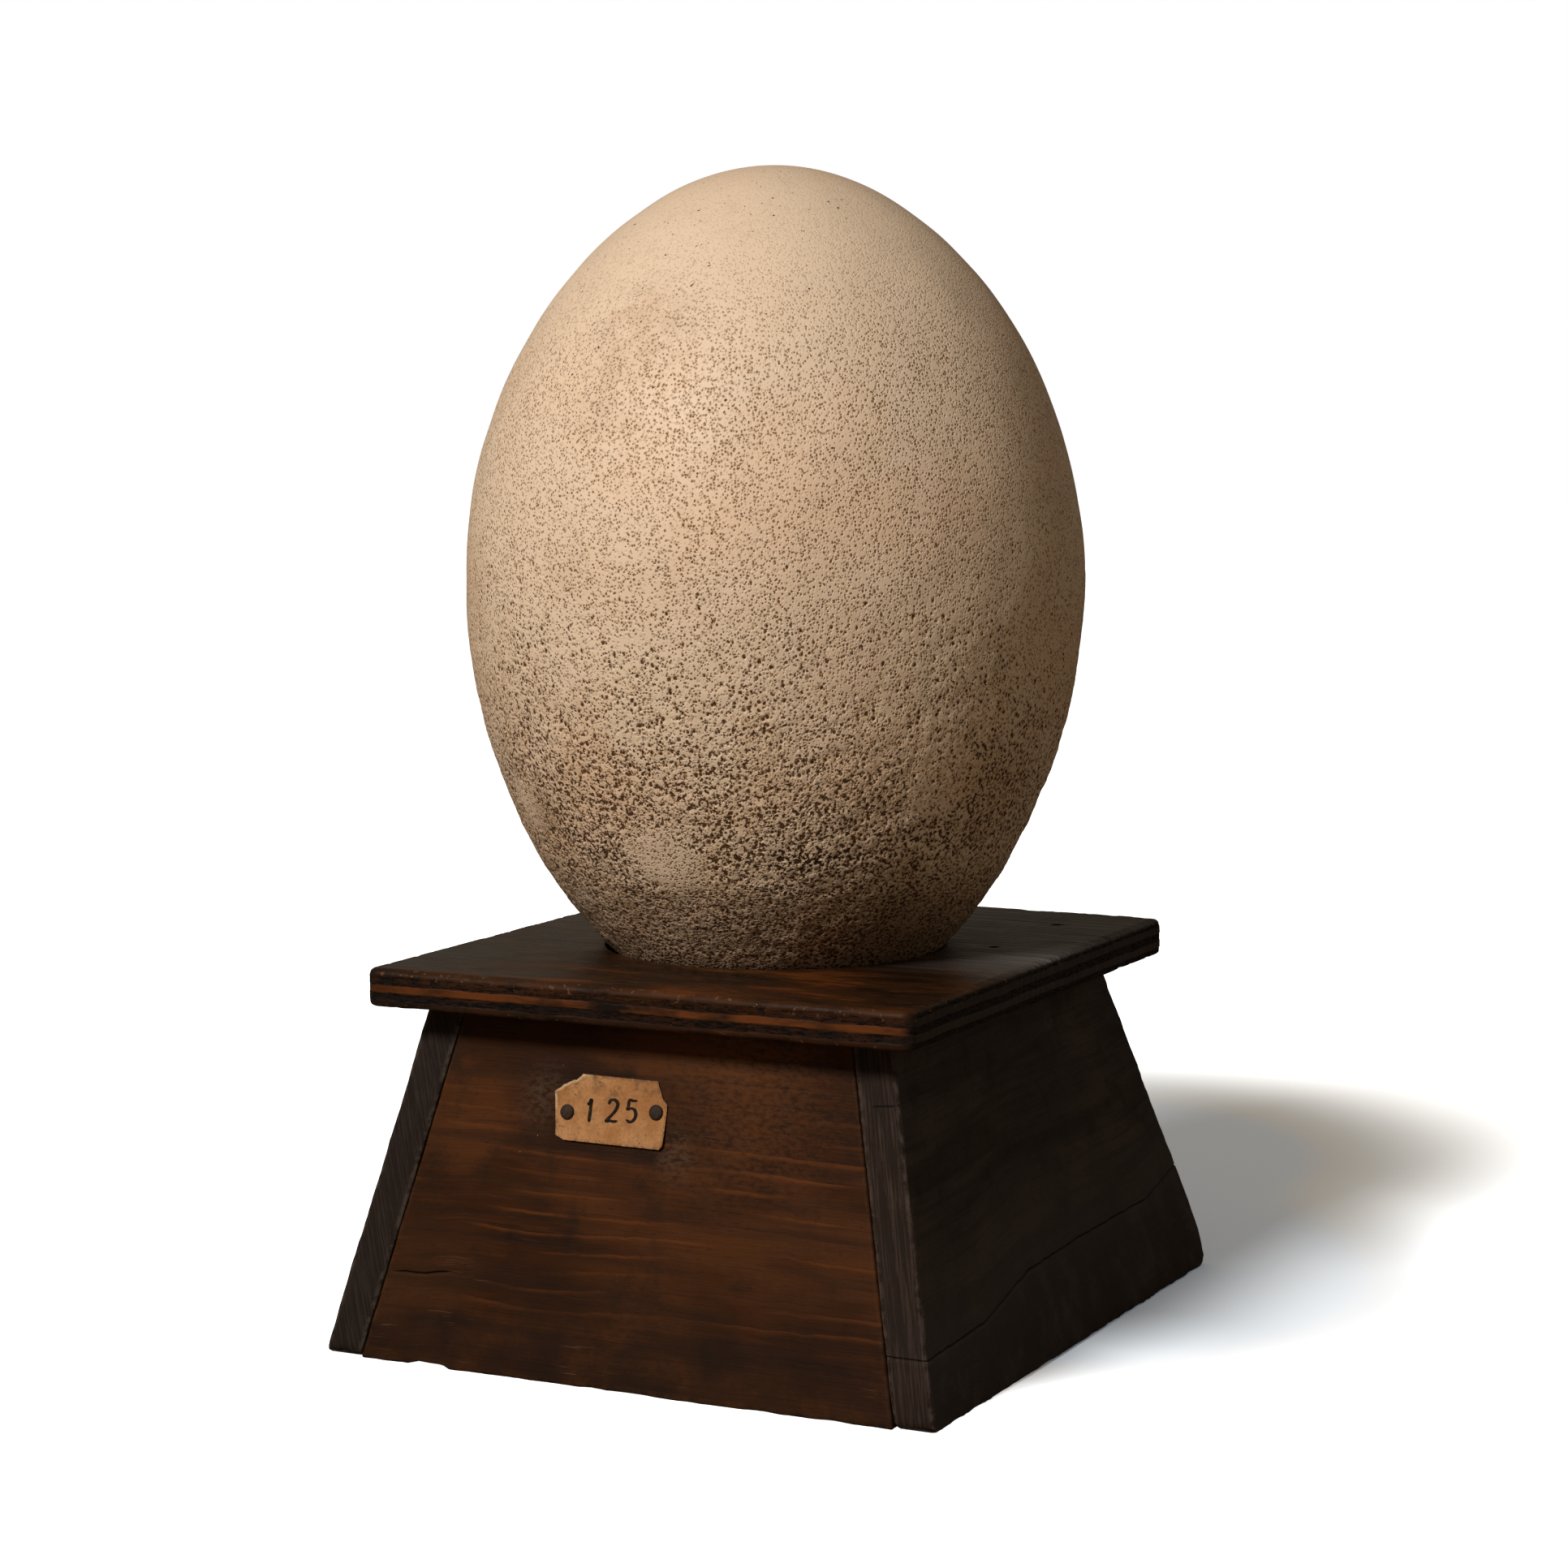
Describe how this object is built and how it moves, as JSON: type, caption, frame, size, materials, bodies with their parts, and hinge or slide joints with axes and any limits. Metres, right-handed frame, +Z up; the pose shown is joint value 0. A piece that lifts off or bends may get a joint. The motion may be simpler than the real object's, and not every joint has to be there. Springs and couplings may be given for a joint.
{
  "type": "elephant bird egg on wooden stand",
  "caption": "Large pitted bird egg standing on end in the round hole of a splayed, hollow wooden stand with a small paper label tacked to its front.",
  "frame": {"origin": "on the floor under the middle of the stand's foot", "axes": "+Z up, +X to the right along the labelled front, +Y to the back"},
  "size_m": [0.2302, 0.2587, 0.4075],
  "materials": {
    "eggshell": "satin, finely pored above, deeply pitted and dirt-stained below",
    "stained_plywood": "dark stain and worn varnish, plies showing at the edges",
    "stained_board": "dark red-brown stain, long grain, satin",
    "stained_side_board": "dark stain, saw marks on the end grain",
    "old_paper": "aged tan paper, foxed and creased",
    "dark_iron": "dark brown rusted iron"
  },
  "bodies": {
    "root": {"egg": "eggshell", "top_board": "stained_plywood", "front_board": "stained_board", "back_board": "stained_board", "left_side_board": "stained_side_board", "right_side_board": "stained_side_board", "label": "old_paper", "tack_left": "dark_iron", "tack_right": "dark_iron", "nail_front": "dark_iron", "nail_back": "dark_iron"}
  },
  "joints": []
}
